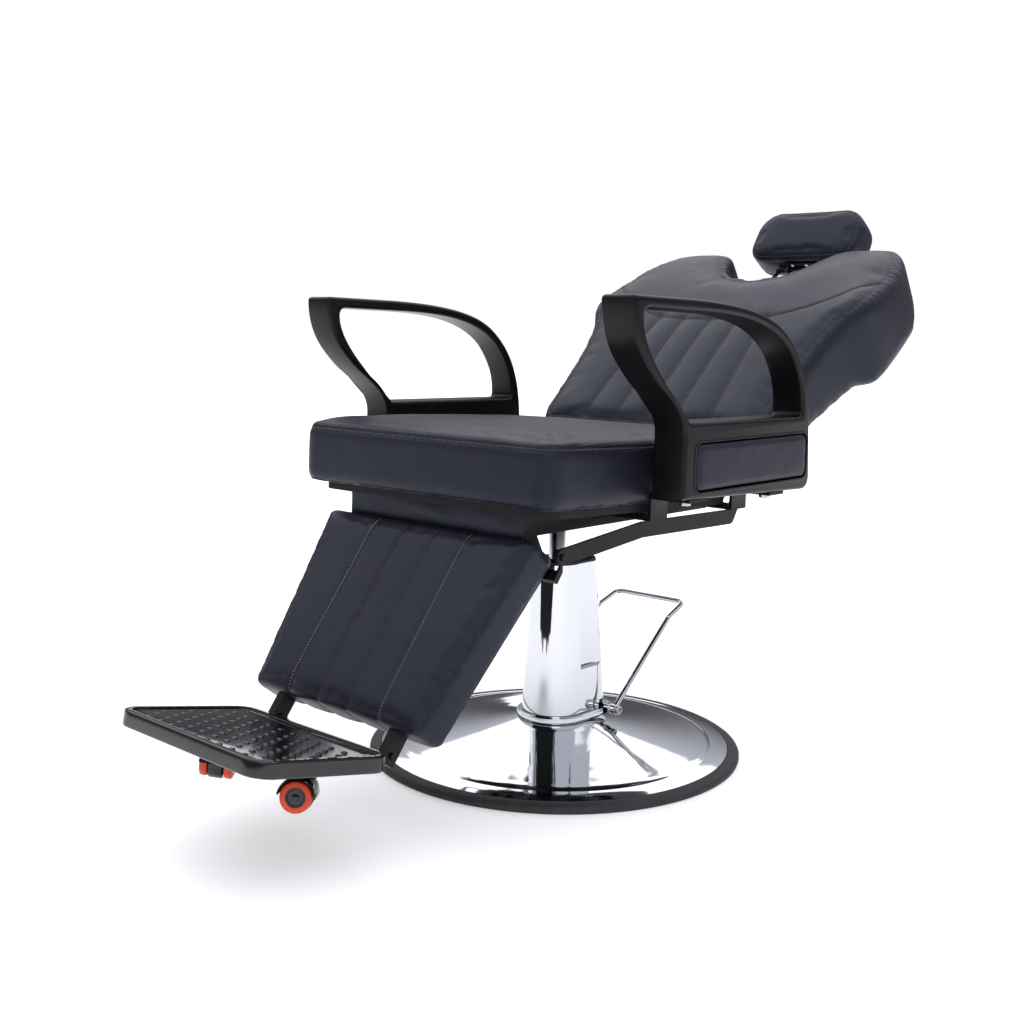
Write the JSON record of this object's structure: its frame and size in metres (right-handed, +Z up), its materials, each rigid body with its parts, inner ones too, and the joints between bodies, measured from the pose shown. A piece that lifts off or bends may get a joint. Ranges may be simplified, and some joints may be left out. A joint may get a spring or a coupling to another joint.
{
  "type": "hydraulic barber chair",
  "caption": "Reclining barber chair on a round chrome pump base, with loop armrests, a sliding headrest, a linked legrest and a fold-up footplate on casters.",
  "frame": {"origin": "centre of the base plate's underside, on the lift column's axis at floor level", "axes": "+Z up, -Y the way the sitter faces, +X the sitter's left"},
  "size_m": [0.657, 1.5162, 0.916],
  "materials": {
    "chrome": "mirror",
    "steel": "satin",
    "black_steel": "satin",
    "leather": "satin",
    "arm_plastic": "satin",
    "gloss_plastic": "gloss",
    "rubber": "matte",
    "tyre": "satin",
    "plywood": "matte"
  },
  "bodies": {
    "base": {"base_plate": "steel", "base_rim": "rubber", "base_dome": "chrome", "column_cover": "chrome", "column_collar": "chrome", "cover_lip": "rubber", "pump_barrel": "steel"},
    "pedal": {"pump_lever": "chrome", "lever_bolt_left": "steel", "lever_bolt_right": "steel"},
    "piston": {"piston_rod": "chrome"},
    "seat": {"seat_socket": "black_steel", "seat_frame": "black_steel", "arm_bracket_front": "black_steel", "arm_bracket_rear": "black_steel", "arm_bolt_front_left": "steel", "arm_bolt_front_right": "steel", "arm_bolt_rear_left": "steel", "arm_bolt_rear_right": "steel", "arm_left": "arm_plastic", "arm_right": "arm_plastic", "arm_panel_left": "leather", "arm_panel_right": "leather", "seat_board": "plywood", "seat_cushion": "leather", "hinge_ear_left": "black_steel", "hinge_ear_right": "black_steel", "hinge_pin_left": "steel", "hinge_pin_right": "steel", "legrest_flap": "leather"},
    "recline_handle": {"recline_lever": "black_steel", "recline_grip": "rubber"},
    "back": {"back_cushion": "leather", "back_board": "black_steel", "back_arm_left": "black_steel", "back_arm_right": "black_steel", "headrest_guide": "black_steel"},
    "headrest_slide": {"headrest_rods": "black_steel"},
    "headrest": {"headrest_pad": "leather", "headrest_bracket": "black_steel"},
    "legrest": {"legrest_pad": "leather", "legrest_board": "plywood", "legrest_frame": "black_steel", "footplate_tube_left": "black_steel", "footplate_tube_right": "black_steel"},
    "link_bar_left": {"link_left": "black_steel"},
    "link_bar_right": {"link_right": "black_steel"},
    "strut": {"strut_cylinder": "steel"},
    "strut_shaft": {"strut_rod": "chrome"},
    "footplate": {"footplate_tray": "gloss_plastic", "footplate_frame": "black_steel"},
    "caster_left": {"caster_hood_left": "gloss_plastic"},
    "caster_wheels_left": {"caster_hubs_left": "gloss_plastic", "caster_tyre_left_a": "tyre", "caster_tyre_left_b": "tyre"},
    "caster_right": {"caster_hood_right": "gloss_plastic"},
    "caster_wheels_right": {"caster_hubs_right": "gloss_plastic", "caster_tyre_right_a": "tyre", "caster_tyre_right_b": "tyre"}
  },
  "joints": [
    {"name": "lift", "type": "slide", "parent": "base", "child": "piston", "axis": [0, 0, 1], "range_m": [-0.02, 0.12]},
    {"name": "swivel", "type": "hinge", "parent": "piston", "child": "seat", "pos_m": [0, 0, 0.399], "axis": [0, 0, 1], "continuous": true},
    {"name": "pump_stroke", "type": "hinge", "parent": "base", "child": "pedal", "pos_m": [0, 0.062, 0.066], "axis": [-1, 0, 0], "range_deg": [0, 25], "stiffness_Nm_per_rad": 6, "springref_deg": -28.65},
    {"name": "recline", "type": "hinge", "parent": "seat", "child": "back", "pos_m": [0, 0.2, 0.46], "axis": [-1, 0, 0], "range_deg": [-48, 0]},
    {"name": "legrest_swing", "type": "hinge", "parent": "seat", "child": "legrest", "pos_m": [0, -0.262, 0.418], "axis": [-1, 0, 0], "range_deg": [-12, 0]},
    {"name": "link_swing_left", "type": "hinge", "parent": "legrest", "child": "link_bar_left", "pos_m": [0.219, -0.24697, 0.37495], "axis": [-1, 0, 0], "range_deg": [0, 13]},
    {"name": "link_swing_right", "type": "hinge", "parent": "legrest", "child": "link_bar_right", "pos_m": [-0.219, -0.24697, 0.37495], "axis": [-1, 0, 0], "range_deg": [0, 13]},
    {"name": "strut_swing", "type": "hinge", "parent": "seat", "child": "strut", "pos_m": [-0.062, -0.06, 0.36], "axis": [1, 0, 0], "range_deg": [0, 4]},
    {"name": "strut_stroke", "type": "slide", "parent": "strut", "child": "strut_shaft", "axis": [0, 0.9884, 0.1521], "range_m": [0, 0.052]},
    {"name": "recline_release", "type": "hinge", "parent": "seat", "child": "recline_handle", "pos_m": [-0.2, 0.03, 0.368], "axis": [-1, 0, 0], "range_deg": [0, 20], "stiffness_Nm_per_rad": 1.2, "springref_deg": -22.92},
    {"name": "headrest_height", "type": "slide", "parent": "back", "child": "headrest_slide", "axis": [0, 0.8348, 0.5505], "range_m": [-0.02, 0.08]},
    {"name": "headrest_tilt", "type": "hinge", "parent": "headrest_slide", "child": "headrest", "pos_m": [0, 0.71981, 0.79796], "axis": [1, 0, 0], "range_deg": [-20, 25]},
    {"name": "footplate_fold", "type": "hinge", "parent": "legrest", "child": "footplate", "pos_m": [0, -0.46827, 0.12888], "axis": [-1, 0, 0], "range_deg": [0, 55]},
    {"name": "caster_turn_left", "type": "hinge", "parent": "footplate", "child": "caster_left", "pos_m": [0.095, -0.57063, 0.1377], "axis": [0, 0.2045, 0.9789], "continuous": true},
    {"name": "wheel_roll_left", "type": "hinge", "parent": "caster_left", "child": "caster_wheels_left", "pos_m": [0.08473, -0.58847, 0.09883], "axis": [0.6794, -0.7182, 0.15], "continuous": true},
    {"name": "caster_turn_right", "type": "hinge", "parent": "footplate", "child": "caster_right", "pos_m": [-0.095, -0.57063, 0.1377], "axis": [0, 0.2045, 0.9789], "continuous": true},
    {"name": "wheel_roll_right", "type": "hinge", "parent": "caster_right", "child": "caster_wheels_right", "pos_m": [-0.08549, -0.58921, 0.09898], "axis": [0.7337, 0.6651, -0.1389], "continuous": true}
  ],
  "couplings": [
    {"joint": "legrest_swing", "follows": "recline", "ratio": 0.24407},
    {"joint": "link_swing_left", "follows": "recline", "ratio": -0.25521},
    {"joint": "link_swing_right", "follows": "recline", "ratio": -0.25521},
    {"joint": "strut_swing", "follows": "recline", "ratio": -0.03703},
    {"joint": "strut_stroke", "follows": "recline", "m_per_rad": -0.0574}
  ]
}
